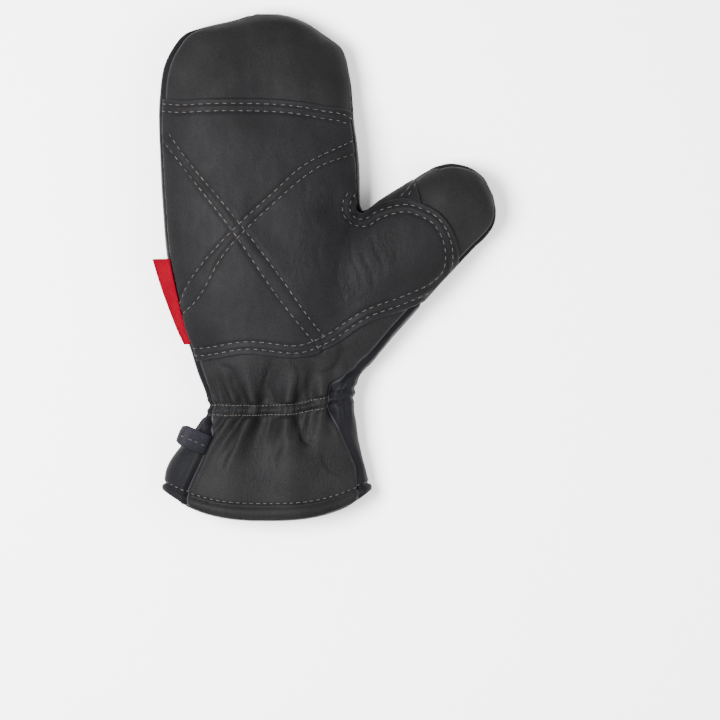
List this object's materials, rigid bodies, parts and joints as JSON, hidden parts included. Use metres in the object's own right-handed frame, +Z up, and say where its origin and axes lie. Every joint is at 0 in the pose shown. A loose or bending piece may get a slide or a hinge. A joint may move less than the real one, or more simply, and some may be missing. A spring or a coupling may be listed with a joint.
{
  "type": "leather mitten",
  "caption": "Soft black leather work mitten for the right hand, palm up, with a sewn palm patch, gathered wrist, flared cuff with turned hem, pull loop and bare side tag.",
  "frame": {"origin": "on the surface that the mitten lies on, below the middle of its bounding box", "axes": "+Y from the cuff towards the fingertips, +X towards the thumb, +Z up out of the palm"},
  "size_m": [0.2112, 0.3108, 0.0476],
  "materials": {
    "palm_leather": "matte full-grain leather, charcoal black",
    "back_leather": "matte full-grain leather, charcoal black",
    "patch_leather": "matte full-grain leather, charcoal black, fine creases",
    "loop_leather": "matte full-grain leather strip",
    "seam_thread": "bonded taupe sewing thread",
    "woven_tag": "woven red satin tag, bare"
  },
  "bodies": {
    "root": {"palm_panel": "palm_leather", "back_panel": "back_leather", "thumb_front": "palm_leather", "thumb_back": "back_leather", "palm_patch": "patch_leather", "thumb_gusset": "palm_leather", "pull_loop": "loop_leather", "side_tag": "woven_tag"}
  },
  "joints": []
}
